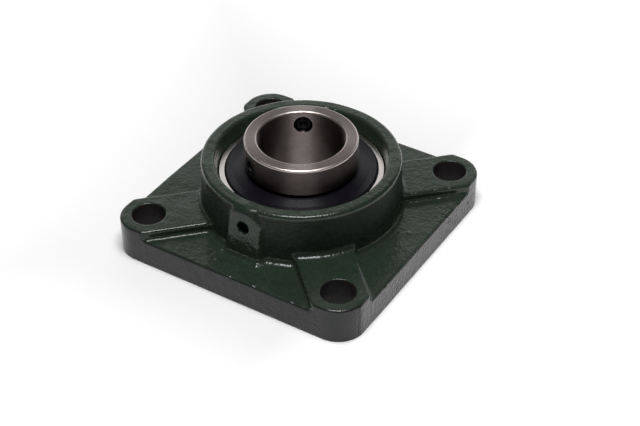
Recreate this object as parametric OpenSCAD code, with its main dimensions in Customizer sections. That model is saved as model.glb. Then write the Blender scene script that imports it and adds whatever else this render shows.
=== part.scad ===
// Square flange bearing unit: a cast iron housing bolted on by four corners, and a
// self-aligning ball bearing insert whose wide inner ring is locked to the shaft by
// two set screws. The back face of the flange lies on z = 0 and the shaft axis is z.

/* [Flange] */
// Distance between neighbouring bolt holes
bolt_spacing = 92; // [88:0.5:100]
// Radius of the flange corners, drawn about the bolt holes
corner_r = 12; // [10.5:0.5:13]
// Diameter of the bolt holes
bolt_hole_d = 14; // [9:0.5:16]
// Chamfer at both ends of the bolt holes
bolt_chamfer = 0.4; // [0.2:0.1:0.8]
// Height of the bolt pads and of the arms that run to them
pad_h = 16; // [14:0.5:18]
// Height of the recessed floors between the arms
floor_h = 12; // [9:0.5:13]
// Rounding of the cast upper edges
cast_edge_r = 1.2; // [0.6:0.1:1.6]
// Fillet at the foot of the arms
arm_foot_r = 1.2; // [0.5:0.1:1.5]

/* [Boss] */
// Height of the boss rim above the back face
boss_h = 35.2; // [33:0.1:38]
// Wall of the boss at its rim, outside the sphere of the insert
boss_wall = 5.7; // [5:0.1:7]
// Growth of the boss radius from the rim to the flange, the draft of the casting
boss_draft = 0.8; // [0.4:0.1:1.4]
// Fillet at the foot of the boss
boss_foot_r = 2.4; // [1:0.1:3]
// Radius of the boss mouth at the rim, beyond the sphere of the insert
mouth_out = 0.3; // [-0.4:0.1:1]
// Rounding of the outer edge of the rim
rim_edge_r = 1.5; // [0.8:0.1:1.8]
// Rounding of the inner edge of the rim
mouth_edge_r = 1.0; // [0.5:0.1:1.5]

/* [Grease port] */
// Diameter of the tapped hole before its thread is cut
port_d = 5.5; // [4:0.1:6.5]
// Depth of the tapped hole
port_deep = 6; // [5:0.1:6.5]
// Diameter of the passage from the tapped hole to the bearing seat
passage_d = 3; // [2:0.1:3.8]
// Height of the hole where it enters the flat
port_h = 26.4; // [25.6:0.1:27.4]
// Distance that the flat stands out from the foot of the boss, at the hole
port_out = 1.4; // [1:0.1:3]
// Lean of the flat towards the boss
port_lean = 5; // [1:0.5:6]
// Radius of the arch that tops the flat
port_arch_r = 7.8; // [6.5:0.1:8.4]
// Draft on each side of the flat
port_side_draft = 2.6; // [0:0.2:4]

/* [Bearing seat] */
// Height of the bearing centre above the back face
seat_z = 19; // [18.5:0.1:19.4]
// Gap between the outer ring and its spherical seat
seat_gap = 0.05; // [0.02:0.01:0.08]
// Step from the edge of the seat out to the opening in the back face
back_step = 0.2; // [0.1:0.1:0.8]
// Chamfer at the back opening
back_chamfer = 0.8; // [0.4:0.1:1.5]
// Room beside the outer ring in the loading slots
slot_gap = 0.4; // [0.2:0.1:0.8]

/* [Outer ring] */
// Spherical outside diameter
insert_d = 72; // [71.6:0.1:72.2]
// Width of the ring on each side of the balls
outer_side = 4.445; // [4.2:0.005:4.7]
// Height of the lands above the ball centres, as a share of the ball radius
outer_land = 0.64; // [0.55:0.01:0.68]
// Step from the lands out to the counterbore around the slinger
recess_step = 1.9; // [1.6:0.1:2.1]
// Depth of the counterbore
recess_deep = 2.7; // [2.5:0.1:2.8]
// Depth that the seal groove is cut beyond the counterbore
seal_groove_deep = 0.6; // [0.4:0.1:0.8]
// Chamfer at the faces
outer_chamfer = 0.3; // [0.2:0.1:0.5]
// Distance from the seal back to the middle of the grease groove
grease_groove_in = 1.1; // [0.9:0.1:1.8]
// Width of the grease groove
grease_groove_w = 1.8; // [1:0.1:2.4]
// Depth of the grease groove
grease_groove_deep = 0.7; // [0.4:0.1:1]
// Diameter of the grease holes
grease_hole_d = 1.6; // [1:0.1:2]

/* [Inner ring] */
// Shaft bore
bore_d = 36.5; // [33:0.1:37.5]
// Length from the centre plane to the short end
short_side = 17.5; // [16.5:0.1:18.4]
// Depth of the shoulders, where the slingers sit, below the ball centres, as a share of
// the ball radius
inner_land = 0.621; // [0.6:0.001:0.65]
// Step from the shoulders out to the collar that holds the set screws
collar_step = 0.4; // [0.2:0.1:0.9]
// Length of the collar
collar_len = 12.3; // [11:0.1:14]
// Distance from the outer ring face to the collar
collar_off = 3.1; // [2.7:0.1:4]
// Chamfer at the bore's short end
bore_chamfer = 0.7; // [0.5:0.1:1.2]
// Rounding of the bore's edge at the collar
bore_edge_r = 0.9; // [0.5:0.1:1.2]
// Rounding of the collar's outer edge
collar_edge_r = 0.9; // [0.4:0.1:1.2]

/* [Balls and raceways] */
// Distance that the ball centres lie inside the middle of the room between the bore and
// the outside
pitch_in = 0.375; // [0.2:0.005:0.6]
// Diameter of the balls, as a share of that room
ball_share = 0.313; // [0.305:0.0005:0.32]
// Radial gap between each ball and each raceway
ball_gap = 0.04; // [0.02:0.01:0.08]
// Raceway groove radius as a share of the ball diameter
groove_share = 0.515; // [0.51:0.005:0.54]

/* [Cage] */
// Thickness of the cage sheet
cage_t = 0.8; // [0.6:0.05:1]
// Radial width of the cage
cage_w = 3.8; // [3.2:0.1:4.4]
// Gap between each ball and its pocket
pocket_gap = 0.15; // [0.08:0.01:0.25]
// Shank diameter of the cage rivets
rivet_d = 1.5; // [1.2:0.1:1.8]
// Head diameter of the cage rivets
rivet_head_d = 2.6; // [2.2:0.1:3]
// Head height of the cage rivets
rivet_head_h = 0.6; // [0.4:0.1:0.8]

/* [Seals] */
// Thickness of the seal where it snaps into its groove
seal_rim_t = 0.9; // [0.7:0.1:1.1]
// Thickness of the seal web
seal_web_t = 0.7; // [0.5:0.1:0.8]
// Gap between the sealing lips and the inner ring
lip_gap = 0.05; // [0.02:0.01:0.1]

/* [Slingers] */
// Thickness of the pressed sheet
slinger_t = 0.7; // [0.5:0.1:0.8]
// Distance from the outer ring face to the slinger's outer shoulder
slinger_out = 1.8; // [1.6:0.1:2.4]
// Depth that the rim reaches below the outer ring face
slinger_in = 0.5; // [0.3:0.1:0.7]
// Drop from the outer shoulder to the rim
slinger_drop = 1.2; // [1:0.1:1.5]
// Width of the flat land and the bend outside the cone
slinger_land = 3.4; // [2.4:0.1:4]
// Gap between the slinger rim and the counterbore
slinger_gap = 0.25; // [0.15:0.05:0.4]

/* [Set screws] */
// Thread diameter
screw_d = 8; // [6:0.5:8.5]
// Distance that the screws stand out of the collar, below zero where they are sunk in
screw_out = 0; // [-0.3:0.1:0.5]
// Distance from the collar face to the screw axis
screw_off = 6.5; // [6:0.1:7.2]
// Distance that the cup point stands back from the bore
screw_back = 0.9; // [0.6:0.1:1]
// Width across the flats of the hexagon socket
socket_af = 4; // [3:0.5:4]
// Depth of the hexagon socket
socket_deep = 2.4; // [2:0.1:2.8]
// Gap around pieces that are pressed, screwed or riveted in place
fit_gap = 0.02; // [0.01:0.01:0.04]

/* [Hidden] */
$fn = 96;
ball_count = 9;
screw_angles = [120, 240];
grease_hole_angles = [30, 150, 270];
pitch_angle = 360 / ball_count;

hole_xy = bolt_spacing / 2;
flange_half = hole_xy + corner_r;
arm_half = corner_r;
arm_reach = hole_xy * sqrt(2);

seat_r = insert_d / 2 + seat_gap;
pitch_r = (insert_d + bore_d) / 4 - pitch_in;
ball_d = ball_share * (insert_d - bore_d);
ball_r = ball_d / 2;

outer_half = ball_r + outer_side;
outer_w = 2 * outer_half;
outer_face_z = seat_z + outer_half;
mouth_foot_r = sqrt(seat_r * seat_r - outer_half * outer_half);
mouth_r = insert_d / 2 + mouth_out;
back_open_r = mouth_foot_r + back_step;
boss_rim_r = insert_d / 2 + boss_wall;
boss_base_r = boss_rim_r + boss_draft;
mouth_lean = atan((mouth_r - mouth_foot_r) / (boss_h - outer_face_z));
boss_lean = atan((boss_base_r - boss_rim_r) / (boss_h - floor_h));
arm_start = insert_d / 2 + 1.5;
through = 1;

port_flat_y = boss_base_r + port_out;
port_arch_h = boss_h - 0.2 - port_arch_r;
port_root_y = insert_d / 2 + 3;
port_block = 3 * port_arch_r;

groove_r = groove_share * ball_d;
outer_groove_at = pitch_r + ball_r + ball_gap - groove_r;
inner_groove_at = pitch_r - ball_r - ball_gap + groove_r;
pocket_r = ball_r + pocket_gap;
cage_in_r = pitch_r - cage_w / 2;

bore_r = bore_d / 2;
outer_land_r = pitch_r + outer_land * ball_r;
recess_r = outer_land_r + recess_step;
shoulder_r = pitch_r - inner_land * ball_r;
collar_r = shoulder_r + collar_step;
inner_low_z = seat_z - short_side;
collar_z = outer_face_z + collar_off;
inner_top_z = collar_z + collar_len;
screw_z = inner_top_z - screw_off;
screw_in_r = bore_r + screw_back;
screw_len = collar_r + screw_out - screw_in_r;

seal_groove_r = recess_r + seal_groove_deep;
seal_low = outer_half - recess_deep + 0.2;
grease_groove_off = seal_low - grease_groove_in;
seal_rim_r = seal_groove_r - fit_gap;
seal_lip_r = shoulder_r + lip_gap;
slinger_hub_r = shoulder_r + fit_gap;
slinger_rim_r = recess_r - slinger_gap;

// The square outline of the flange, with a round corner about each bolt hole
module flange_outline() {
    square([2 * hole_xy, 2 * flange_half], center = true);
    square([2 * flange_half, 2 * hole_xy], center = true);
    for (x = [-hole_xy, hole_xy], y = [-hole_xy, hole_xy])
        translate([x, y])
            circle(corner_r);
}

// What is taken off a square edge to round it, with the edge at the origin
module edge_waste(r) {
    difference() {
        translate([-r, -r])
            square(r + through);
        translate([-r, -r])
            circle(r);
    }
}

// What is added in a square inside corner to round it, with the corner at the origin. The
// arc is let in a little, so that it meets both faces at a slight angle, as sand leaves it
module corner_fill(r) {
    let_in = r / 12;
    difference() {
        translate([-through, -through])
            square(r - let_in + through);
        translate([r - let_in, r - let_in])
            circle(r);
    }
}

// The thin plate between the arms, its long upper edges rounded
module flange_plate() {
    difference() {
        linear_extrude(height = floor_h)
            flange_outline();
        for (turn = [0:90:270])
            rotate([0, 0, turn])
                translate([flange_half, hole_xy, floor_h])
                    rotate([90, 0, 0])
                        linear_extrude(height = 2 * hole_xy)
                            edge_waste(cast_edge_r);
    }
}

// Half of the section across an arm, which is also the section of a pad about its hole
module arm_half_section() {
    difference() {
        square([arm_half, pad_h]);
        translate([arm_half, pad_h])
            edge_waste(cast_edge_r);
    }
    translate([arm_half, floor_h])
        corner_fill(arm_foot_r);
}

// One raised arm from the boss to its bolt pad, at the corner in the +X direction
module arm() {
    translate([arm_start, 0, 0])
        rotate([90, 0, 90])
            linear_extrude(height = arm_reach - arm_start) {
                arm_half_section();
                mirror([1, 0])
                    arm_half_section();
            }
    translate([arm_reach, 0, 0])
        rotate_extrude()
            arm_half_section();
}

module arms() {
    intersection() {
        for (turn = [45:90:315])
            rotate([0, 0, turn])
                arm();
        linear_extrude(height = pad_h + through)
            flange_outline();
    }
}

// The round boss, still solid, with draft, a rounded rim and a filleted foot
module boss() {
    rim_at = boss_rim_r + rim_edge_r * tan(boss_lean) - rim_edge_r / cos(boss_lean);
    foot_at = boss_base_r - boss_foot_r * tan(boss_lean) + boss_foot_r / cos(boss_lean);
    rotate_extrude() {
        polygon([
            [0, 0],
            [boss_base_r, 0],
            [boss_base_r, floor_h],
            [rim_at + rim_edge_r * cos(boss_lean), boss_h - rim_edge_r * (1 - sin(boss_lean))],
            [rim_at, boss_h - rim_edge_r],
            [rim_at, boss_h],
            [0, boss_h]
        ]);
        translate([rim_at, boss_h - rim_edge_r])
            circle(rim_edge_r);
        difference() {
            translate([boss_rim_r - through, floor_h - through])
                square([foot_at - boss_rim_r + through, boss_foot_r + through]);
            translate([foot_at, floor_h + boss_foot_r])
                circle(boss_foot_r);
        }
    }
}

// The raised flat on the side of the boss, where the grease port is tapped
module port_flat() {
    foot = port_arch_r / cos(port_side_draft) + (port_arch_h - floor_h) * tan(port_side_draft);
    flank_x = port_arch_r * cos(port_side_draft);
    flank_z = port_arch_h + port_arch_r * sin(port_side_draft);
    difference() {
        translate([0, -port_root_y, 0])
            rotate([90, 0, 0])
                linear_extrude(height = port_flat_y - port_root_y + port_arch_r) {
                    polygon([
                        [-foot, 0],
                        [foot, 0],
                        [foot, floor_h],
                        [flank_x, flank_z],
                        [-flank_x, flank_z],
                        [-foot, floor_h]
                    ]);
                    translate([0, port_arch_h])
                        circle(port_arch_r);
                }
        translate([0, -port_flat_y, port_h])
            rotate([-port_lean, 0, 0])
                translate([-port_block, -2 * port_block, -2 * port_block])
                    cube([2 * port_block, 2 * port_block, 4 * port_block]);
    }
}

// The tapped hole, square to the flat, and the passage from it to the bearing seat
module port_hole() {
    passage_len = port_flat_y - insert_d / 2 + 2;
    translate([0, -port_flat_y, port_h])
        rotate([90 - port_lean, 0, 0]) {
            translate([0, 0, -port_deep])
                cylinder(d = port_d, h = port_deep + port_arch_r);
            translate([0, 0, -passage_len])
                cylinder(d = passage_d, h = passage_len);
        }
}

// Everything that is machined or cored out of the middle of the housing
module seat_cavity() {
    mouth_at = mouth_r - mouth_edge_r * tan(mouth_lean) + mouth_edge_r / cos(mouth_lean);
    rotate_extrude() {
        intersection() {
            translate([0, seat_z])
                circle(seat_r);
            translate([0, seat_z - outer_half])
                square([seat_r + through, outer_w]);
        }
        polygon([
            [0, -through],
            [back_open_r + back_chamfer + through, -through],
            [back_open_r, back_chamfer],
            [back_open_r, seat_z],
            [0, seat_z]
        ]);
        polygon([
            [0, seat_z],
            [mouth_foot_r - through, outer_face_z],
            [mouth_foot_r, outer_face_z],
            [mouth_at - mouth_edge_r * cos(mouth_lean), boss_h - mouth_edge_r * (1 - sin(mouth_lean))],
            [mouth_at - mouth_edge_r * cos(mouth_lean), boss_h + through],
            [0, boss_h + through]
        ]);
        difference() {
            translate([mouth_at - mouth_edge_r, boss_h - mouth_edge_r])
                square([mouth_edge_r, mouth_edge_r + through]);
            translate([mouth_at, boss_h - mouth_edge_r])
                circle(mouth_edge_r);
        }
    }
}

// Two opposite slots in the back, through which the insert is put in edgeways
module loading_slots() {
    slot_r = insert_d / 2 + slot_gap;
    intersection() {
        translate([0, 0, -through])
            cylinder(r = slot_r, h = seat_z + through);
        translate([-slot_r - through, -outer_half - slot_gap, -2 * through])
            cube([2 * (slot_r + through), outer_w + 2 * slot_gap, seat_z + 4 * through]);
    }
}

module bolt_hole() {
    hole_r = bolt_hole_d / 2;
    translate([0, 0, -through])
        cylinder(r = hole_r, h = pad_h + 2 * through);
    translate([0, 0, pad_h - bolt_chamfer])
        cylinder(r1 = hole_r, r2 = hole_r + bolt_chamfer + through, h = bolt_chamfer + through);
    translate([0, 0, -through])
        cylinder(r1 = hole_r + bolt_chamfer + through, r2 = hole_r, h = bolt_chamfer + through);
}

module housing() {
    color("#1f3329")
        difference() {
            union() {
                flange_plate();
                arms();
                boss();
                port_flat();
            }
            seat_cavity();
            loading_slots();
            port_hole();
            for (x = [-hole_xy, hole_xy], y = [-hole_xy, hole_xy])
                translate([x, y, 0])
                    bolt_hole();
        }
}

// The section of the outer ring, with the bearing centre at the origin
module outer_ring_section() {
    groove_bed = sqrt(pow(insert_d / 2, 2) - pow(grease_groove_off, 2)) - grease_groove_deep;
    face_r = sqrt(pow(insert_d / 2, 2) - pow(outer_half, 2));
    difference() {
        intersection() {
            circle(insert_d / 2);
            translate([outer_land_r, -outer_half])
                square([insert_d / 2, outer_w]);
        }
        translate([outer_groove_at, 0])
            circle(groove_r);
        translate([groove_bed, grease_groove_off - grease_groove_w / 2])
            square([insert_d / 2, grease_groove_w]);
        for (side = [0, 1])
            mirror([0, side]) {
                translate([outer_land_r - through, outer_half - recess_deep])
                    square([recess_r - outer_land_r + through, recess_deep + through]);
                translate([outer_land_r - through, seal_low])
                    square([seal_groove_r - outer_land_r + through, seal_rim_t + 2 * fit_gap]);
                translate([face_r, outer_half])
                    polygon([
                        [-outer_chamfer, through],
                        [-outer_chamfer, 0],
                        [through, -outer_chamfer - through],
                        [through, through]
                    ]);
            }
    }
}

module outer_ring() {
    color("#c9c6c2")
        translate([0, 0, seat_z])
            difference() {
                rotate_extrude()
                    outer_ring_section();
                for (turn = grease_hole_angles)
                    rotate([0, 0, turn])
                        translate([outer_land_r - through, 0, grease_groove_off])
                            rotate([0, 90, 0])
                                cylinder(d = grease_hole_d, h = insert_d / 2);
            }
}

// The inner ring, with its raceway, the slinger seats and the collar for the set screws
module inner_ring() {
    color("#b5aca3")
        difference() {
            rotate_extrude()
                difference() {
                    polygon([
                        [bore_r, inner_low_z + bore_chamfer],
                        [bore_r + bore_chamfer, inner_low_z],
                        [shoulder_r - bore_chamfer / 2, inner_low_z],
                        [shoulder_r, inner_low_z + bore_chamfer / 2],
                        [shoulder_r, collar_z],
                        [collar_r, collar_z + collar_r - shoulder_r],
                        [collar_r, inner_top_z],
                        [bore_r, inner_top_z]
                    ]);
                    translate([inner_groove_at, seat_z])
                        circle(groove_r);
                    translate([collar_r, inner_top_z])
                        edge_waste(collar_edge_r);
                    translate([bore_r, inner_top_z])
                        mirror([1, 0])
                            edge_waste(bore_edge_r);
                }
            for (turn = screw_angles)
                rotate([0, 0, turn])
                    translate([0, 0, screw_z])
                        rotate([0, 90, 0])
                            cylinder(d = screw_d + 2 * fit_gap, h = collar_r + through);
        }
}

module at_ball(i) {
    rotate([0, 0, (i - 1) * pitch_angle])
        translate([pitch_r, 0, 0])
            children();
}

module ball(i) {
    color("#d6d8da")
        translate([0, 0, seat_z])
            at_ball(i)
                sphere(ball_r);
}

// A flat ring as wide as the cage, standing on the centre plane
module cage_band(h) {
    rotate_extrude()
        translate([cage_in_r, 0])
            square([cage_w, h]);
}

// One half of the pressed cage: a flat ring with a round cup over each ball
module cage_half() {
    difference() {
        intersection() {
            difference() {
                union() {
                    cage_band(cage_t);
                    for (i = [1:ball_count])
                        at_ball(i)
                            sphere(pocket_r + cage_t);
                }
                for (i = [1:ball_count])
                    at_ball(i)
                        sphere(pocket_r);
            }
            cage_band(pocket_r + cage_t + through);
        }
        for (i = [1:ball_count])
            rotate([0, 0, pitch_angle / 2])
                at_ball(i)
                    translate([0, 0, -through])
                        cylinder(d = rivet_d + 2 * fit_gap, h = cage_t + 2 * through);
    }
}

module cage_front() {
    color("#a99f8c")
        translate([0, 0, seat_z])
            cage_half();
}

module cage_back() {
    color("#a99f8c")
        translate([0, 0, seat_z])
            mirror([0, 0, 1])
                cage_half();
}

// A rivet with a conical head on each side of the cage
module cage_rivets() {
    color("#8f8a80")
        translate([0, 0, seat_z])
            for (i = [1:ball_count])
                rotate([0, 0, pitch_angle / 2])
                    at_ball(i) {
                        translate([0, 0, -cage_t - rivet_head_h / 2])
                            cylinder(d = rivet_d, h = 2 * cage_t + rivet_head_h);
                        for (side = [0, 1])
                            mirror([0, 0, side])
                                translate([0, 0, cage_t])
                                    cylinder(d1 = rivet_head_d, d2 = rivet_d, h = rivet_head_h);
                    }
}

// A rubber seal: a rim bead in the outer ring, a flat web and two lips at the inner ring
module seal() {
    web_low = seal_low + (seal_rim_t - seal_web_t) / 2;
    web_top = web_low + seal_web_t;
    rotate_extrude()
        polygon([
            [seal_rim_r, seal_low + fit_gap],
            [seal_rim_r, seal_low + fit_gap + seal_rim_t],
            [recess_r - 2 * fit_gap, seal_low + fit_gap + seal_rim_t],
            [recess_r - seal_rim_t, web_top],
            [seal_lip_r + 2 * seal_web_t, web_top],
            [seal_lip_r + seal_web_t / 2, web_top + seal_web_t],
            [seal_lip_r, web_top + seal_web_t],
            [seal_lip_r + seal_web_t, (web_low + web_top) / 2],
            [seal_lip_r, web_low - seal_web_t / 2],
            [seal_lip_r + seal_web_t / 2, web_low - seal_web_t / 2],
            [seal_lip_r + 2 * seal_web_t, web_low],
            [recess_r - seal_rim_t, web_low],
            [recess_r - 2 * fit_gap, seal_low + fit_gap]
        ]);
}

module seal_front() {
    color("#1b1a1c")
        translate([0, 0, seat_z])
            seal();
}

module seal_back() {
    color("#1b1a1c")
        translate([0, 0, seat_z])
            mirror([0, 0, 1])
                seal();
}

// A pressed flinger: a hub on the inner ring, a cone, a flat land and a rim that is bent
// down into the counterbore
module slinger() {
    hub_out_r = slinger_hub_r + slinger_t;
    land_in_r = slinger_rim_r - slinger_land;
    top = outer_half + slinger_out;
    rim_top = top - slinger_drop;
    land_z = rim_top + slinger_t / 2;
    rotate_extrude()
        polygon([
            [slinger_hub_r, rim_top - slinger_t],
            [slinger_hub_r, top - slinger_t / 3],
            [slinger_hub_r + slinger_t / 3, top],
            [hub_out_r + slinger_t, top],
            [land_in_r, land_z],
            [slinger_rim_r - slinger_t, land_z],
            [slinger_rim_r, rim_top - slinger_t / 2],
            [slinger_rim_r, outer_half - slinger_in],
            [slinger_rim_r - slinger_t, outer_half - slinger_in],
            [slinger_rim_r - slinger_t, rim_top - slinger_t],
            [slinger_rim_r - slinger_t * 3 / 2, land_z - slinger_t],
            [land_in_r - slinger_t / 4, land_z - slinger_t],
            [hub_out_r + slinger_t / 2, top - slinger_t],
            [hub_out_r, top - slinger_t * 3 / 2],
            [hub_out_r, rim_top - slinger_t]
        ]);
}

module slinger_front() {
    color("#2b2a2e")
        translate([0, 0, seat_z])
            slinger();
}

module slinger_back() {
    color("#2b2a2e")
        translate([0, 0, seat_z])
            mirror([0, 0, 1])
                slinger();
}

// A set screw with a hexagon socket outside and a cup point towards the shaft
module set_screw(i) {
    screw_r = screw_d / 2;
    bevel = screw_r / 8;
    color("#232327")
        rotate([0, 0, screw_angles[i - 1]])
            translate([screw_in_r, 0, screw_z])
                rotate([0, 90, 0])
                    difference() {
                        rotate_extrude()
                            polygon([
                                [0, bevel * 2],
                                [screw_r / 2, 0],
                                [screw_r - 2 * bevel, 0],
                                [screw_r, 2 * bevel],
                                [screw_r, screw_len - bevel],
                                [screw_r - bevel, screw_len],
                                [0, screw_len]
                            ]);
                        translate([0, 0, screw_len - socket_deep])
                            cylinder(d = socket_af / cos(30), h = socket_deep + through, $fn = 6);
                    }
}

housing();
outer_ring();
inner_ring();
for (i = [1:ball_count])
    ball(i);
cage_front();
cage_back();
cage_rivets();
seal_front();
seal_back();
slinger_front();
slinger_back();
for (i = [1:len(screw_angles)])
    set_screw(i);
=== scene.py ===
"""Looks of a square flange bearing: a green painted iron casting with a steel bearing insert.

Lengths are in millimetres in the named values and in the casting's field, unless a comment
says metres, and in metres in Blender. The frame is the part's own: z is the shaft axis, and
z = 0 is the back face of the flange.
"""

import math

import bpy
import numpy as np
from mathutils import Matrix, Vector

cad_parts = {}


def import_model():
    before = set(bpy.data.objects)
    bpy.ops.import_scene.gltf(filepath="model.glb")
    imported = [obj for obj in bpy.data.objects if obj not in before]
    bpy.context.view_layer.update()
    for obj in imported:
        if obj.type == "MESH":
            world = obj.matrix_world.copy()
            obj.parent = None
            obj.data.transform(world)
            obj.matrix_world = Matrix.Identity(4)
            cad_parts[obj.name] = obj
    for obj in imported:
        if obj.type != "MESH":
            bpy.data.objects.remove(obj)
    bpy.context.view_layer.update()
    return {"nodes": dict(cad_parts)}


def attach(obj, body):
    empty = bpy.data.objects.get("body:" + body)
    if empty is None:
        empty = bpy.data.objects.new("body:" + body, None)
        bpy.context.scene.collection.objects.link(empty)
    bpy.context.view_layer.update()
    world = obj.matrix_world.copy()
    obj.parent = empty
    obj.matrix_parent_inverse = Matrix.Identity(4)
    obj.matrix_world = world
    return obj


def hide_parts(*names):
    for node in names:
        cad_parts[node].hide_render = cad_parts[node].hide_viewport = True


MM = 0.001

# Flange
BOLT_SPACING = 92.0
CORNER_R = 12.0
BOLT_HOLE_R = 7.0
PAD_H = 16.0
FLOOR_H = 12.0
CAST_EDGE_R = 1.2
OUTLINE_EDGE_R = 0.3
ARM_FOOT_R = 1.4
HOLE_XY = BOLT_SPACING / 2
FLANGE_HALF = HOLE_XY + CORNER_R
BACK_EDGE_R = 0.4
DRILLED_EDGE_R = 0.5

# Boss and its mouth
BOSS_H = 35.2
BOSS_RIM_R = 41.7
BOSS_BASE_R = 42.5
BOSS_FOOT_R = 2.6
MOUTH_R = 36.3
RIM_EDGE_R = 1.5
MOUTH_EDGE_R = 1.0
BOSS_LEAN = math.atan((BOSS_BASE_R - BOSS_RIM_R) / (BOSS_H - FLOOR_H))

# Bearing seat, cut a little wider than the real one so that the ring never shows through it
SEAT_Z = 19.0
SEAT_R = 36.2
SEAT_HALF = 10.0
BACK_OPEN_R = 34.8
SLOT_R = 36.4
SLOT_HALF = 10.4
SLOT_EDGE_R = 0.5

# Flat and tapped hole for grease
PORT_FLAT_Y = 43.9
PORT_H = 26.4
PORT_LEAN = math.radians(5)
PORT_ARCH_R = 7.8
PORT_TOP_DROP = 0.9
PORT_ARCH_Z = BOSS_H - PORT_TOP_DROP - PORT_ARCH_R
PORT_DRAFT = math.radians(2.6)
PORT_EDGE_R = 1.6
PORT_FOOT_R = 2.4
PORT_BLOCK_IN = 8.0
PORT_HOLE_R = 2.75
PORT_HOLE_DEEP = 6.0
PORT_PASSAGE_R = 1.5
PORT_PASSAGE_DEEP = 12.0
PORT_HOLE_EDGE_R = 0.35

# Inner ring: its bore, the collar's foot and top, and how far below the top its rounded edge
# and its end face begin, each with the drop at which the finish has changed over
BORE_R = 18.25
COLLAR_Z = 32.1
COLLAR_TOP = 44.4
COLLAR_FOOT_R = 21.0
EDGE_DROP = (0.95, 0.75)
FACE_DROP = (0.03, 0.01)

CELL = 0.55
CELL_QUICK = 0.9
GRID_MARGIN = 1.2
MOST_TRIANGLES = 180000
# The pull of each point to the middle of its cell's crossings, and how many cells it may leave it
BLEND_TO_MEAN = 0.08
MOST_SHIFT = 0.7
# The step over which normals are taken
GRADIENT_STEP = 0.04
# How far from the surface the rough skin is worked out
SKIN_REACH = 3 * CELL_QUICK

# Roughness of the cast skin: wave length and height of each layer of noise
SKIN = [(14.0, 0.10), (5.0, 0.055), (2.1, 0.035)]
SKIN_SEED = 7
NOISE_TABLE = 32
NOISE_SHIFT = 500.0

# Single lumps of paint and sand on the casting: place, radius and height
LUMPS = [
    ((2.0, -57.2, 11.8), 0.9, 0.45),
    ((13.2, -57.0, 11.8), 1.0, 0.5),
    ((31.1, -57.0, 11.8), 0.9, 0.45),
    ((7.8, -46.4, 12.0), 1.1, 0.5),
    ((-33.0, -55.5, 12.0), 0.8, 0.3),
    ((-8.0, -51.0, 12.0), 1.2, 0.25),
    ((49.5, 4.0, 12.0), 1.3, 0.25),
    ((58.0, 41.4, 6.3), 0.9, -0.7),
    ((58.0, -20.0, 5.0), 0.7, -0.3),
    ((-58.0, 12.0, 7.0), 0.9, -0.4),
]
# The patch on the right side where the sand left the skin rough, and how fast it sets in
PATCH_AT = (58.0, 24.0, 6.5)
PATCH_R = 11.0
PATCH_WAVE = 1.7
PATCH_HEIGHT = 0.28
PATCH_SEED = 16
PATCH_FADE = 1.4

# The camera, fitted to the photo, in millimetres and degrees
CAMERA_AT = (268.0, -414.2, 394.9)
CAMERA_AZIMUTH = 32.02
CAMERA_ELEVATION = 38.35
CAMERA_ROLL = -0.18
CAMERA_LENS = 82.84
SENSOR = 36.0

# Paint: wave lengths of its blotches, wrinkles, grit and sand, and the depths of its bumps
BLOTCH_WAVE = 16.0
WRINKLE_WAVE = 2.6
GRIT_WAVE = 0.9
SAND_WAVE = 1.7
WRINKLE_DEEP = 0.17
GRIT_DEEP = 0.035
SAND_DEEP = 0.45
GRIT_SMOOTH = 1.3
GRIT_SANDY = 4.0

# Paint: roughness where it is glossy, dry and gone, and its specular level
GLOSSY = (0.09, 0.18)
DRY = (0.36, 0.46)
BARE_ROUGH = 0.6
PAINT_SPECULAR = 0.38
DRY_SPECULAR = (0.2, 0.07)

# Where the finish changes: the sandy right side, the greyer outside of the flange, the dry wall
# of the boss, darkened as painted shade, its driest stretch at the right, and the unpainted walls
# of the drilled holes, also darkened as painted shade
SAND_X = (57.3, 57.7)
SIDE_GREY_OUT = (CORNER_R - 0.7, CORNER_R - 0.3)
SIDE_GREY_SHARE = 0.8
DRY_SHADE_REACH = (39.0, 40.0, 43.0, 43.6)
DRY_SHADE_HEIGHT = (14.0, 19.0, BOSS_H - 2.2, BOSS_H - 1.2)
DRY_SHADE_SHARE = 0.6
DRIEST_X = (20.0, 38.0)
BARE_SHADE_FADE = 0.25

# Colours as the eye sees them, red, green and blue from 0 to 255. Pairs are mixed in clouds
PAINT = [(40, 52, 42), (49, 62, 51)]
PAINT_WRINKLE = (36, 46, 37)
PAINT_PIT = (27, 36, 28)
PAINT_SIDE_GREY = (34, 32, 35)
# Painted shade: the dark colour of the boss wall stands in for the shade there
PAINT_DRY_SHADE = (15, 20, 16)
# Painted shade: the dark brown inside the bolt holes, on the unpainted iron
BARE_IRON_SHADED = (34, 28, 28)
COLLAR_WALL = [(107, 99, 97), (94, 86, 84)]
COLLAR_BORE = [(158, 147, 144), (144, 133, 130)]
COLLAR_FACE = [(136, 127, 124), (124, 115, 112)]
COLLAR_EDGE = (200, 190, 186)
COLLAR_SPECK = (60, 54, 53)
RING_STEEL = [(244, 238, 235), (230, 223, 220)]
CAGE_STEEL = [(170, 164, 152), (148, 141, 128)]
BALL_STEEL = [(208, 208, 210), (186, 186, 180)]
SEAL_RUBBER = [(24, 23, 25), (34, 33, 35)]
SLINGER_COAT = (21, 19, 25)
SCREW_COAT = (20, 19, 21)
# Painted shade: near-black colour in the groove between the collar and the slinger, as linear
# light
GROOVE_SHADE = (0.004, 0.004, 0.005, 1.0)

# Steel: wave lengths of its tool marks, clouds and specks, and the depth of the marks
TOOL_MARK = 0.25
CLOUD_WAVE = 6.0
SPECK_WAVE = 0.5
MARK_DEEP = 0.004

# Collar: roughness of its walls, edges and end face, and how far highlights stretch on edges
WALL_ROUGH = (0.44, 0.53)
EDGE_ROUGH = 0.36
FACE_ROUGH = (0.22, 0.3)
EDGE_STRETCH = 0.2

# Black coats: wave lengths of their clouds and grit, the depth of the grit, and the share of
# light that the thin places keep
COAT_CLOUD = 4.0
COAT_GRIT = 0.35
COAT_DEEP = 0.01
COAT_THIN = 0.75
COAT_SPECULAR = 0.25

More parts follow.
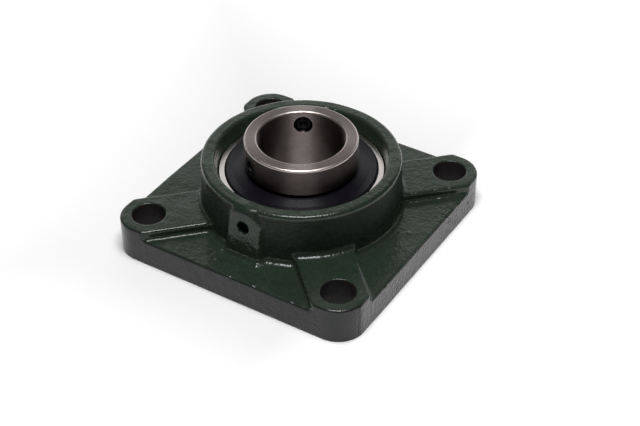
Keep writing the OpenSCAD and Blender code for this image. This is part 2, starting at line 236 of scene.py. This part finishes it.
# Lamps: how far each leans from straight above and to which side, in degrees, how far away it
# hangs, its width and depth, in metres, and its power
SOFT_BOX = {"lean": 10.0, "side": -63.0, "away": 0.6, "width": 0.28, "depth": 0.24, "watts": 2.8}
FILL = {"lean": 3.0, "side": -60.0, "away": 0.62, "width": 0.45, "depth": 0.6, "watts": 0.4}

# The room: the side that is bright, how steeply and where it fades, and grey tones by height,
# from 0 at the horizon to 1 overhead
FAR_SIDE = 122.0
FAR_RISE = 0.35
FAR_FADE = (0.77, 0.94)
FAR_TONES = [(0, 1), (0.54, 1), (0.59, 0.78), (0.625, 0.46), (0.68, 0.3), (0.8, 0.15), (1, 0.2)]
NEAR_TONES = [
    (0, 1), (0.025, 1), (0.06, 0.3), (0.12, 0.12), (0.22, 0.03), (0.54, 0.03), (1, 0.006)
]

# The floor: its reach in metres, its depth below the back face, its tone, and its glow beside
# the object, far from it and to the right, with the distances over which each sets in
FLOOR_HALF = 6.0
FLOOR_DROP = 0.05
FLOOR_TONE = 0.9
GLOW_NEAR = 0.12
GLOW_FAR = 0.7
GLOW_FAR_FROM = (70.0, 250.0)
GLOW_RIGHT = 0.34
GLOW_RIGHT_FROM = (30.0, 70.0)
GLOW_UNDER = (50.0, FLANGE_HALF)


def rounded_cut(a, b, r):
    """The field of what lies in both a and b, with the edge between them rounded to r."""
    inner = np.minimum(np.maximum(a, b) + r, 0)
    return inner + np.hypot(np.maximum(a + r, 0), np.maximum(b + r, 0)) - r


def filleted_join(a, b, r):
    """The field of what lies in a or b, with a fillet of radius r where they meet."""
    outer = np.maximum(np.minimum(a, b) - r, 0)
    return outer + r - np.hypot(np.maximum(r - a, 0), np.maximum(r - b, 0))


def noise_at(x, y, z, wave, seed):
    """Smooth noise from -1 to 1 with the given wave length."""
    table = np.random.default_rng(seed).random((NOISE_TABLE,) * 3).astype(np.float32)
    axes = []
    for c in (x, y, z):
        scaled = c / wave + NOISE_SHIFT
        low = np.floor(scaled)
        part = scaled - low
        axes.append((low.astype(np.int32), part * part * (3 - 2 * part)))
    total = 0
    for corner in range(8):
        index = []
        weight = 1
        for axis, (low, part) in enumerate(axes):
            up = (corner >> axis) & 1
            index.append((low + up) % NOISE_TABLE)
            weight = weight * (part if up else 1 - part)
        total = total + weight * table[tuple(index)]
    return 2 * total - 1


def skin_height(x, y, z):
    """How far the cast skin stands above its plain form."""
    height = 0
    for layer, (wave, amount) in enumerate(SKIN):
        height = height + amount * noise_at(x, y, z, wave, SKIN_SEED + layer)
    gone = np.sqrt((x - PATCH_AT[0]) ** 2 + (y - PATCH_AT[1]) ** 2 + (z - PATCH_AT[2]) ** 2)
    share = np.clip(PATCH_FADE * (1 - gone / PATCH_R), 0, 1)
    rough = noise_at(x, y, z, PATCH_WAVE, PATCH_SEED)
    height = height - share * PATCH_HEIGHT * np.abs(rough)
    for at, radius, rise in LUMPS:
        away = (x - at[0]) ** 2 + (y - at[1]) ** 2 + (z - at[2]) ** 2
        height = height + rise * np.exp(-away / (0.5 * radius * radius))
    return height


def outline_field(x, y):
    """The square outline of the flange with its round corners."""
    qx = np.abs(x) - HOLE_XY
    qy = np.abs(y) - HOLE_XY
    far = np.hypot(np.maximum(qx, 0), np.maximum(qy, 0))
    return far + np.minimum(np.maximum(qx, qy), 0) - CORNER_R


def flange_field(x, y, z):
    """Floors, raised arms and pads."""
    strip = np.minimum(np.abs(x - y), np.abs(x + y)) / math.sqrt(2) - CORNER_R
    arms = rounded_cut(strip, z - PAD_H, CAST_EDGE_R)
    top = filleted_join(z - FLOOR_H, arms, ARM_FOOT_R)
    return rounded_cut(outline_field(x, y), top, CAST_EDGE_R)


def boss_field(reach, z):
    """The round boss, still solid, with its draft."""
    wall = reach - BOSS_BASE_R + (z - FLOOR_H) * math.tan(BOSS_LEAN)
    return rounded_cut(wall * math.cos(BOSS_LEAN), z - BOSS_H, RIM_EDGE_R)


def port_field(x, y, z):
    """The block with an arched top whose face is the flat for the grease port."""
    side = np.abs(x) * math.cos(PORT_DRAFT) - (PORT_ARCH_Z - z) * math.sin(PORT_DRAFT)
    arch = np.hypot(x, z - PORT_ARCH_Z)
    above = (z - PORT_ARCH_Z) * math.cos(PORT_DRAFT) > np.abs(x) * math.sin(PORT_DRAFT)
    around = np.where(above, arch, side) - PORT_ARCH_R
    lean = (z - PORT_H) * math.sin(PORT_LEAN) - (y + PORT_FLAT_Y) * math.cos(PORT_LEAN)
    block = rounded_cut(around, lean, PORT_EDGE_R)
    return np.maximum(block, y + BOSS_RIM_R - PORT_BLOCK_IN)


def cavity_field(reach, z):
    """The mouth, the seat and the opening in the back, all turned about the shaft axis."""
    off = np.clip(z - SEAT_Z, -SEAT_HALF, SEAT_HALF)
    seat = np.sqrt(SEAT_R * SEAT_R - off * off)
    seat_end = math.sqrt(SEAT_R * SEAT_R - SEAT_HALF * SEAT_HALF)
    mouth = (MOUTH_R - seat_end) / (BOSS_H - SEAT_Z - SEAT_HALF)
    radius = seat + mouth * np.maximum(z - SEAT_Z - SEAT_HALF, 0)
    return reach - np.where(z < SEAT_Z - SEAT_HALF, BACK_OPEN_R, radius)


def port_hole_field(x, y, z):
    """The tapped hole, square to the flat, and the passage on to the seat."""
    along = (z - PORT_H) * math.sin(PORT_LEAN) - (y + PORT_FLAT_Y) * math.cos(PORT_LEAN)
    up = (z - PORT_H) * math.cos(PORT_LEAN) + (y + PORT_FLAT_Y) * math.sin(PORT_LEAN)
    off = np.hypot(x, up)
    tapped = np.maximum(off - PORT_HOLE_R, -PORT_HOLE_DEEP - along)
    passage = np.maximum(off - PORT_PASSAGE_R, -PORT_PASSAGE_DEEP - along)
    return np.minimum(tapped, passage)


def casting_field(x, y, z):
    """Distance to the surface of the casting, negative inside the iron."""
    reach = np.hypot(x, y)
    cast = filleted_join(flange_field(x, y, z), boss_field(reach, z), BOSS_FOOT_R)
    cast = filleted_join(cast, port_field(x, y, z), PORT_FOOT_R)
    near = np.abs(cast) < SKIN_REACH
    cast = cast.copy()
    cast[near] -= skin_height(x[near], y[near], z[near])
    cast = rounded_cut(cast, outline_field(x, y), OUTLINE_EDGE_R)
    whole = rounded_cut(cast, -cavity_field(reach, z), MOUTH_EDGE_R)
    slots = np.maximum(np.maximum(reach - SLOT_R, np.abs(y) - SLOT_HALF), z - SEAT_Z)
    whole = rounded_cut(whole, -slots, SLOT_EDGE_R)
    bolts = np.hypot(np.abs(x) - HOLE_XY, np.abs(y) - HOLE_XY) - BOLT_HOLE_R
    whole = rounded_cut(whole, -bolts, DRILLED_EDGE_R)
    whole = rounded_cut(whole, -port_hole_field(x, y, z), PORT_HOLE_EDGE_R)
    return rounded_cut(whole, -z, BACK_EDGE_R)


def field_normals(field, points):
    """Unit normals of a field at points."""
    normals = np.empty_like(points)
    for axis in range(3):
        step = np.zeros(3)
        step[axis] = GRADIENT_STEP
        ahead = points + step
        behind = points - step
        normals[:, axis] = field(*ahead.T) - field(*behind.T)
    return normals / np.maximum(np.linalg.norm(normals, axis=1, keepdims=True), 1e-9)


def crossed_edges(values, low, cell, axis):
    """Where the surface crosses the grid's edges along an axis: first corner, place and side."""
    ahead = np.take(values, range(1, values.shape[axis]), axis)
    behind = np.take(values, range(values.shape[axis] - 1), axis)
    corner = np.argwhere((behind < 0) != (ahead < 0))
    a = behind[tuple(corner.T)]
    b = ahead[tuple(corner.T)]
    places = corner.astype(float)
    places[:, axis] += a / (a - b)
    return corner, low + places * cell, a < 0


def cells_round(corner, axis, shape):
    """The four grid cells around each crossed edge, in order round it, as flat indices."""
    first, second = [(1, 2), (2, 0), (0, 1)][axis]
    cells = []
    for back_first, back_second in ((1, 1), (0, 1), (0, 0), (1, 0)):
        index = corner.copy()
        index[:, first] -= back_first
        index[:, second] -= back_second
        cells.append(np.ravel_multi_index(tuple(index.T), shape))
    return np.stack(cells, axis=1)


def fitted_points(places, normals, owner, count):
    """One point a cell, set where the planes through its edge crossings meet best."""
    share = np.bincount(owner, minlength=count)
    mean = np.empty((count, 3))
    for axis in range(3):
        mean[:, axis] = np.bincount(owner, places[:, axis], count) / share
    offset = np.einsum("ij,ij->i", normals, places - mean[owner])
    matrix = np.empty((count, 3, 3))
    side = np.empty((count, 3, 1))
    for i in range(3):
        side[:, i, 0] = np.bincount(owner, normals[:, i] * offset, count)
        for j in range(3):
            matrix[:, i, j] = np.bincount(owner, normals[:, i] * normals[:, j], count)
    matrix += BLEND_TO_MEAN * np.eye(3)
    return mean, mean + np.linalg.solve(matrix, side)[:, :, 0]


def field_mesh(field, low, high, cell):
    """Points and quads of the surface where a field is zero, with its sharp edges kept."""
    axes = [np.arange(low[i], high[i] + cell, cell) for i in range(3)]
    shape = tuple(len(a) for a in axes)
    values = np.empty(shape, np.float32)
    for i, x in enumerate(axes[0]):
        grid = np.meshgrid(axes[1], axes[2], indexing="ij")
        values[i] = field(np.full_like(grid[0], x), grid[0], grid[1])
    corners = np.array([a[0] for a in axes])
    places, cells, flips = [], [], []
    for axis in range(3):
        corner, at, inside = crossed_edges(values, corners, cell, axis)
        places.append(at)
        cells.append(cells_round(corner, axis, shape))
        flips.append(inside)
    places = np.concatenate(places)
    cells = np.concatenate(cells)
    flips = np.concatenate(flips)
    used, owner = np.unique(cells, return_inverse=True)
    quads = owner.reshape(-1, 4)
    normals = field_normals(field, places)
    mean, points = fitted_points(
        np.repeat(places, 4, axis=0), np.repeat(normals, 4, axis=0), quads.ravel(), len(used)
    )
    away = np.clip(points - mean, -MOST_SHIFT * cell, MOST_SHIFT * cell)
    quads = np.where(flips[:, None], quads, quads[:, ::-1])
    return mean + away, quads


def new_object(name, points, faces):
    """A mesh object from points in millimetres."""
    mesh = bpy.data.meshes.new(name)
    mesh.from_pydata((np.asarray(points) * MM).tolist(), [], np.asarray(faces).tolist())
    mesh.validate()
    obj = bpy.data.objects.new(name, mesh)
    bpy.context.scene.collection.objects.link(obj)
    return obj


def thinned(obj, most):
    """Collapses the flat stretches of a mesh until it has at most so many triangles."""
    triangles = sum(len(p.vertices) - 2 for p in obj.data.polygons)
    if triangles <= most:
        return
    thin = obj.modifiers.new("thin", "DECIMATE")
    thin.ratio = most / triangles
    graph = bpy.context.evaluated_depsgraph_get()
    mesh = bpy.data.meshes.new_from_object(obj.evaluated_get(graph))
    obj.modifiers.clear()
    obj.data = mesh


def shade_by_field(obj, field):
    """Smooth shading with the normals of the field itself."""
    mesh = obj.data
    points = np.empty(len(mesh.vertices) * 3)
    mesh.vertices.foreach_get("co", points)
    normals = field_normals(field, points.reshape(-1, 3) / MM)
    mesh.polygons.foreach_set("use_smooth", np.ones(len(mesh.polygons), bool))
    mesh.normals_split_custom_set_from_vertices(normals.tolist())


def make_casting():
    """The housing, cast, drilled and painted."""
    low = np.array([-FLANGE_HALF, -FLANGE_HALF, 0.0]) - GRID_MARGIN
    high = np.array([FLANGE_HALF, FLANGE_HALF, BOSS_H]) + GRID_MARGIN
    cell = CELL
    points, quads = field_mesh(casting_field, low, high, cell)
    casting = new_object("housing_casting", points, quads)
    thinned(casting, MOST_TRIANGLES)
    shade_by_field(casting, casting_field)
    casting.data.materials.append(paint_material())
    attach(casting, "housing")
    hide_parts("housing")
    return casting


class Nodes:
    """The node tree of a material or world, with short calls to add and link nodes."""

    def __init__(self, owner):
        owner.use_nodes = True
        self.owner = owner
        self.tree = owner.node_tree
        self.shader = self.tree.nodes.get("Principled BSDF")

    def add(self, kind, **settings):
        """A new node with its settings."""
        node = self.tree.nodes.new(kind)
        for key, value in settings.items():
            setattr(node, key, value)
        return node

    def link(self, source, target):
        self.tree.links.new(source, target)

    def feed(self, target, value):
        """Links a socket to the target, or sets the target to a plain value."""
        if isinstance(value, bpy.types.NodeSocket):
            self.link(value, target)
        else:
            target.default_value = value

    def position(self):
        return self.add("ShaderNodeTexCoord").outputs["Object"]

    def split(self, vector):
        """The three parts of a vector."""
        node = self.add("ShaderNodeSeparateXYZ")
        self.link(vector, node.inputs[0])
        return [node.outputs[axis] for axis in ("X", "Y", "Z")]

    def noise(self, vector, wave, detail=2.0, roughness=0.5, distortion=0.0):
        """Noise with a wave length in millimetres."""
        node = self.add("ShaderNodeTexNoise")
        self.feed(node.inputs["Vector"], vector)
        node.inputs["Scale"].default_value = 1 / (wave * MM)
        node.inputs["Detail"].default_value = detail
        node.inputs["Roughness"].default_value = roughness
        node.inputs["Distortion"].default_value = distortion
        return node.outputs["Fac"]

    def spread(self, value, low, high, from_low=0.3, from_high=0.7):
        """Goes from low to high while the value goes through its own stretch."""
        node = self.add("ShaderNodeMapRange")
        self.feed(node.inputs["Value"], value)
        node.inputs["From Min"].default_value = from_low
        node.inputs["From Max"].default_value = from_high
        node.inputs["To Min"].default_value = low
        node.inputs["To Max"].default_value = high
        return node.outputs["Result"]

    def past(self, value, start, end):
        """Zero before a stretch of a length in millimetres, and one past it."""
        return self.spread(value, 0.0, 1.0, start * MM, end * MM)

    def before(self, value, start, end):
        """One before a stretch of a length in millimetres, and zero past it."""
        return self.spread(value, 1.0, 0.0, start * MM, end * MM)

    def math(self, operation, a, b=0.0):
        node = self.add("ShaderNodeMath", operation=operation)
        self.feed(node.inputs[0], a)
        self.feed(node.inputs[1], b)
        return node.outputs[0]

    def mix(self, share, a, b):
        """A colour between a and b."""
        node = self.add("ShaderNodeMix", data_type="RGBA")
        self.feed(node.inputs["Factor"], share)
        self.feed(node.inputs["A"], a)
        self.feed(node.inputs["B"], b)
        return node.outputs["Result"]

    def blend(self, share, a, b):
        """A number between a and b."""
        node = self.add("ShaderNodeMix", data_type="FLOAT")
        self.feed(node.inputs["Factor"], share)
        self.feed(node.inputs["A"], a)
        self.feed(node.inputs["B"], b)
        return node.outputs["Result"]

    def clouds(self, value, pair):
        """A colour that drifts between the two of a pair."""
        return self.mix(self.spread(value, 0.0, 1.0), colour(pair[0]), colour(pair[1]))

    def greys(self, value, tones):
        """A ramp of greys over a value from 0 to 1."""
        node = self.add("ShaderNodeValToRGB")
        self.link(value, node.inputs["Fac"])
        stops = node.color_ramp.elements
        while len(stops) < len(tones):
            stops.new(0.5)
        for stop, (place, tone) in zip(stops, tones):
            stop.position = place
            stop.color = (tone, tone, tone, 1)
        return node.outputs["Color"]

    def bump(self, height, depth, before=None):
        """The normal of a surface whose height of 1 stands for a depth in millimetres."""
        node = self.add("ShaderNodeBump")
        self.feed(node.inputs["Height"], height)
        node.inputs["Distance"].default_value = depth * MM
        node.inputs["Strength"].default_value = 1.0
        if before is not None:
            self.link(before, node.inputs["Normal"])
        return node.outputs["Normal"]

    def set(self, **values):
        """Feeds the shader's sockets, named with underscores for spaces."""
        for key, value in values.items():
            self.feed(self.shader.inputs[key.replace("_", " ")], value)


def new_material(name):
    return Nodes(bpy.data.materials.new(name))


def colour(shade):
    """A colour from 0 to 255 as Blender's linear RGBA."""
    linear = []
    for c in shade:
        c = c / 255
        linear.append(c / 12.92 if c <= 0.04045 else ((c + 0.055) / 1.055) ** 2.4)
    return (*linear, 1.0)


def paint_material():
    """Dark green gloss paint over the skin of a sand casting, worn off inside the bolt holes,
    where the iron is darkened as painted shade.
    """
    n = new_material("green_paint")
    at = n.position()
    wrinkle = n.noise(at, WRINKLE_WAVE, 2.0, 0.5, 1.2)
    grit = n.noise(at, GRIT_WAVE, 2.0)
    wall = on_boss_wall(n)
    bare_and_shaded = n.before(off_bolt_axis(n), BOLT_HOLE_R, BOLT_HOLE_R + BARE_SHADE_FADE)
    # Painted shade: inside the bolt holes the unpainted iron is made dark brown
    n.set(Base_Color=n.mix(bare_and_shaded, paint_colour(n, wrinkle, grit, wall), colour(BARE_IRON_SHADED)))
    rough = n.blend(wall, n.spread(grit, *GLOSSY), n.spread(grit, *DRY))
    n.set(Roughness=n.blend(bare_and_shaded, rough, BARE_ROUGH))
    to_right = n.spread(n.split(at)[0], *DRY_SPECULAR, DRIEST_X[0] * MM, DRIEST_X[1] * MM)
    n.set(Specular_IOR_Level=n.blend(wall, PAINT_SPECULAR, to_right))
    n.set(Normal=paint_relief(n, wrinkle, grit, wall))
    return n.owner


def paint_colour(n, wrinkle, grit, wall):
    """Blotchy green, darker in wrinkles and pits, greyer on the flange's side, darkened on the
    boss wall as painted shade.
    """
    green = n.clouds(n.noise(n.position(), BLOTCH_WAVE, 3.0), PAINT)
    green = n.mix(n.spread(wrinkle, 0.0, 0.5), green, colour(PAINT_WRINKLE))
    green = n.mix(n.spread(grit, 0.45, 0.0), green, colour(PAINT_PIT))
    # Greyer on the flange's outer sides
    side_grey = n.past(off_bolt_axis(n, outward=True), *SIDE_GREY_OUT)
    green = n.mix(n.math("MULTIPLY", side_grey, SIDE_GREY_SHARE), green, colour(PAINT_SIDE_GREY))
    # Painted shade: the boss wall is darkened
    return n.mix(n.math("MULTIPLY", wall, DRY_SHADE_SHARE), green, colour(PAINT_DRY_SHADE))


def paint_relief(n, wrinkle, grit, wall):
    """Wrinkles everywhere, more grit on the boss wall and the right side, sand on that side."""
    right = n.past(n.split(n.position())[0], *SAND_X)
    gritty = n.spread(n.math("MAXIMUM", wall, right), GRIT_SMOOTH, GRIT_SANDY, 0.0, 1.0)
    sand = n.math("MULTIPLY", n.noise(n.position(), SAND_WAVE, 3.0, 0.6), right)
    wrinkled = n.bump(wrinkle, WRINKLE_DEEP)
    return n.bump(sand, SAND_DEEP, n.bump(n.math("MULTIPLY", grit, gritty), GRIT_DEEP, wrinkled))


def on_boss_wall(n):
    """One on the upright wall of the boss, where the paint went on thin and dry and is darkened as
    painted shade, else zero.
    """
    total = 1.0
    reach, _, height = n.split(turned_coordinates(n))
    for value, stretch in ((reach, DRY_SHADE_REACH), (height, DRY_SHADE_HEIGHT)):
        total = n.math("MULTIPLY", total, n.past(value, *stretch[:2]))
        total = n.math("MULTIPLY", total, n.before(value, *stretch[2:]))
    return total


def off_bolt_axis(n, outward=False):
    """Distance from the nearest bolt hole's axis, or only the part of it away from the boss."""
    total = 0.0
    for place in n.split(n.position())[:2]:
        off = n.math("SUBTRACT", n.math("ABSOLUTE", place), HOLE_XY * MM)
        if outward:
            off = n.math("MAXIMUM", off, 0.0)
        total = n.math("ADD", total, n.math("MULTIPLY", off, off))
    return n.math("SQRT", total)


def turned_coordinates(n):
    """Coordinates that follow tool marks: distance from the axis, a little angle, height."""
    x, y, z = n.split(n.position())
    reach = n.math("SQRT", n.math("ADD", n.math("MULTIPLY", x, x), n.math("MULTIPLY", y, y)))
    angle = n.math("ARCTAN2", y, x)
    join = n.add("ShaderNodeCombineXYZ")
    n.link(reach, join.inputs["X"])
    n.link(n.math("MULTIPLY", angle, 0.5 * MM), join.inputs["Y"])
    n.link(z, join.inputs["Z"])
    return join.outputs["Vector"]


def stretch_across_marks(n, anisotropy):
    """Highlights stretched across the tool marks, a quarter turn from the way that they run."""
    n.set(Anisotropic=anisotropy, Anisotropic_Rotation=0.25)
    tangent = n.add("ShaderNodeTangent", direction_type="RADIAL", axis="Z")
    n.set(Tangent=tangent.outputs["Tangent"])


def turned_steel(name, pair, roughness, mark, depth, anisotropy):
    """Steel that was turned or ground about the shaft axis."""
    n = new_material(name)
    lines = n.noise(turned_coordinates(n), mark, 3.0, 0.6)
    n.set(Base_Color=n.clouds(n.noise(n.position(), CLOUD_WAVE, 3.0), pair), Metallic=1.0)
    n.set(Roughness=n.spread(lines, roughness - 0.05, roughness + 0.06))
    n.set(Normal=n.bump(lines, depth))
    stretch_across_marks(n, anisotropy)
    return n.owner


def collar_steel():
    """The inner ring: ground walls, tumbled edges, a finely turned end face, painted shade in the
    groove.
    """
    n = new_material("inner_ring_steel")
    marks = turned_coordinates(n)
    reach, _, height = n.split(marks)
    lines = n.noise(marks, TOOL_MARK, 3.0, 0.6)
    on_edge = n.past(height, *[COLLAR_TOP - drop for drop in EDGE_DROP])
    on_top = n.past(height, *[COLLAR_TOP - drop for drop in FACE_DROP])
    steel = collar_wall_colour(n, reach)
    steel = n.mix(on_edge, steel, colour(COLLAR_EDGE))
    steel = n.mix(on_top, steel, n.clouds(lines, COLLAR_FACE))
    # Painted shade: the steel below the collar's foot is made near black where the groove lies in
    # shade
    low = n.before(height, COLLAR_Z - 0.1, COLLAR_Z)
    shade_in_groove = n.math("MULTIPLY", low, n.past(reach, COLLAR_FOOT_R, COLLAR_FOOT_R + 1))
    n.set(Base_Color=n.mix(shade_in_groove, steel, GROOVE_SHADE), Metallic=1.0)
    rough = n.blend(on_edge, n.spread(lines, *WALL_ROUGH), EDGE_ROUGH)
    n.set(Roughness=n.blend(on_top, rough, n.spread(lines, *FACE_ROUGH)))
    n.set(Normal=n.bump(lines, MARK_DEEP))
    stretch_across_marks(n, 1.0)
    only_edge = n.math("SUBTRACT", on_edge, on_top)
    n.set(Anisotropic=n.blend(only_edge, 1.0, EDGE_STRETCH))
    return n.owner


def collar_wall_colour(n, reach):
    """The collar's steel, lighter in the bore, with dark specks."""
    cloud = n.noise(n.position(), CLOUD_WAVE, 3.0)
    in_bore = n.before(reach, BORE_R + 0.1, BORE_R + 0.3)
    steel = n.mix(in_bore, n.clouds(cloud, COLLAR_WALL), n.clouds(cloud, COLLAR_BORE))
    speck = n.spread(n.noise(n.position(), SPECK_WAVE, 2.0), 0.3, 0.0)
    return n.mix(speck, steel, colour(COLLAR_SPECK))


def dark_coating(name, shade, roughness):
    """A thin dark coat on pressed or machined steel."""
    n = new_material(name)
    coat = colour(shade)
    thin = (*[c * COAT_THIN for c in coat[:3]], 1.0)
    cloud = n.noise(n.position(), COAT_CLOUD, 3.0)
    grit = n.noise(n.position(), COAT_GRIT, 2.0)
    n.set(Base_Color=n.mix(n.spread(cloud, 0.0, 1.0), coat, thin))
    n.set(Roughness=n.spread(grit, roughness - 0.06, roughness + 0.08))
    n.set(Normal=n.bump(grit, COAT_DEEP), Specular_IOR_Level=COAT_SPECULAR)
    stretch_across_marks(n, 0.9)
    return n.owner


def polished_steel():
    """The balls: hardened, lapped, with a film of grease."""
    n = new_material("ball_steel")
    film = n.noise(n.position(), 2.0, 3.0)
    n.set(Base_Color=n.clouds(film, BALL_STEEL))
    n.set(Metallic=1.0, Roughness=n.spread(film, 0.05, 0.14))
    return n.owner


def rubber():
    """The moulded seals."""
    n = new_material("seal_rubber")
    grit = n.noise(n.position(), 0.4, 3.0)
    n.set(Base_Color=n.clouds(grit, SEAL_RUBBER))
    n.set(Roughness=n.spread(grit, 0.5, 0.65))
    n.set(Normal=n.bump(grit, 0.02))
    return n.owner


def dress(nodes, names, material):
    """Gives CAD nodes a material."""
    for name in names:
        data = nodes[name].data
        data.materials.clear()
        data.materials.append(material)


def dress_nodes(nodes):
    """Gives every CAD node but the housing its material."""
    outer = turned_steel(
        "outer_ring_steel", RING_STEEL, roughness=0.24, mark=0.3, depth=0.006, anisotropy=0.6
    )
    cage = turned_steel(
        "cage_steel", CAGE_STEEL, roughness=0.38, mark=0.8, depth=0.004, anisotropy=0.0
    )
    dress(nodes, ["inner_ring"], collar_steel())
    dress(nodes, ["outer_ring"], outer)
    dress(nodes, ["cage_front", "cage_back", "cage_rivets"], cage)
    dress(nodes, sorted(n for n in nodes if n.startswith("ball_")), polished_steel())
    dress(nodes, ["seal_front", "seal_back"], rubber())
    slinger = dark_coating("slinger_black", SLINGER_COAT, roughness=0.3)
    dress(nodes, ["slinger_front", "slinger_back"], slinger)
    screw = dark_coating("screw_black", SCREW_COAT, roughness=0.42)
    dress(nodes, ["set_screw_1", "set_screw_2"], screw)


def make_camera():
    """The camera of the photo, placed by its own position and three angles."""
    azimuth = math.radians(CAMERA_AZIMUTH)
    elevation = math.radians(CAMERA_ELEVATION)
    roll = math.radians(CAMERA_ROLL)
    back = Vector((
        math.sin(azimuth) * math.cos(elevation),
        -math.cos(azimuth) * math.cos(elevation),
        math.sin(elevation),
    ))
    level = Vector((math.cos(azimuth), math.sin(azimuth), 0))
    rise = back.cross(level)
    right = level * math.cos(roll) + rise * math.sin(roll)
    up = back.cross(right)
    data = bpy.data.cameras.new("camera")
    data.sensor_width = SENSOR
    data.lens = CAMERA_LENS
    data.clip_start = 0.01
    camera = bpy.data.objects.new("camera", data)
    rows = [[right[i], up[i], back[i], CAMERA_AT[i] * MM] for i in range(3)]
    camera.matrix_world = Matrix([*rows, [0, 0, 0, 1]])
    bpy.context.scene.collection.objects.link(camera)
    bpy.context.scene.camera = camera


def make_lamp(name, lean, side, away, width, depth, watts):
    """A rectangular lamp that looks at the object, leaning from straight above to one side."""
    turn = math.radians(side)
    tilt = math.radians(lean)
    back = Vector((
        math.cos(turn) * math.sin(tilt),
        math.sin(turn) * math.sin(tilt),
        math.cos(tilt),
    ))
    across = Vector((-math.sin(turn), math.cos(turn), 0))
    along = back.cross(across)
    data = bpy.data.lights.new(name, "AREA")
    data.shape = "RECTANGLE"
    data.size = width
    data.size_y = depth
    data.energy = watts
    lamp = bpy.data.objects.new(name, data)
    at = back * away
    rows = [[across[i], along[i], back[i], at[i]] for i in range(3)]
    lamp.matrix_world = Matrix([*rows, [0, 0, 0, 1]])
    bpy.context.scene.collection.objects.link(lamp)


def make_room():
    """A world that is white low down, grey overhead and dim on the camera's side."""
    world = bpy.data.worlds.new("room")
    bpy.context.scene.world = world
    n = Nodes(world)
    direction = n.add("ShaderNodeTexCoord").outputs["Generated"]
    height = n.split(direction)[2]
    turn = math.radians(FAR_SIDE)
    ahead = n.add("ShaderNodeVectorMath", operation="DOT_PRODUCT")
    n.link(direction, ahead.inputs[0])
    ahead.inputs[1].default_value = (math.cos(turn), math.sin(turn), FAR_RISE)
    share = n.spread(ahead.outputs["Value"], 0.0, 1.0, *FAR_FADE)
    tone = n.mix(share, n.greys(height, NEAR_TONES), n.greys(height, FAR_TONES))
    n.link(tone, n.tree.nodes["Background"].inputs["Color"])


def floor_glow(n):
    """More glow far from the object and to the right, and none beneath the flange."""
    x, y, _ = n.split(n.position())
    off = n.math("MAXIMUM", n.math("ABSOLUTE", x), n.math("ABSOLUTE", y))
    far = [c * MM for c in GLOW_FAR_FROM]
    right = [c * MM for c in GLOW_RIGHT_FROM]
    glow = n.spread(off, GLOW_NEAR, GLOW_FAR, *far)
    glow = n.math("ADD", glow, n.spread(x, 0.0, GLOW_RIGHT, *right))
    return n.math("MULTIPLY", glow, n.past(off, *GLOW_UNDER))


def make_floor():
    """A white paper floor that keeps a soft shadow."""
    half = FLOOR_HALF / MM
    corners = [(-half, -half), (half, -half), (half, half), (-half, half)]
    floor = new_object("floor", [(x, y, -FLOOR_DROP) for x, y in corners], [(0, 1, 2, 3)])
    n = new_material("paper")
    n.set(Base_Color=(FLOOR_TONE, FLOOR_TONE, FLOOR_TONE, 1), Roughness=0.9)
    n.set(Specular_IOR_Level=0.0)
    rays = n.add("ShaderNodeLightPath").outputs
    seen = n.math("MAXIMUM", rays["Is Camera Ray"], rays["Is Glossy Ray"])
    seen = n.math("MAXIMUM", seen, rays["Is Transmission Ray"])
    n.set(Emission_Color=(1, 1, 1, 1), Emission_Strength=n.math("MULTIPLY", seen, floor_glow(n)))
    floor.data.materials.append(n.owner)


def main():
    """Builds the scene on the frame and keeps its sizes."""
    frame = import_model()
    scene = bpy.context.scene
    scene.view_settings.view_transform = "Standard"
    make_casting()
    dress_nodes(frame["nodes"])
    make_camera()
    make_lamp("soft_box", **SOFT_BOX)
    make_lamp("fill", **FILL)
    make_room()
    make_floor()


main()
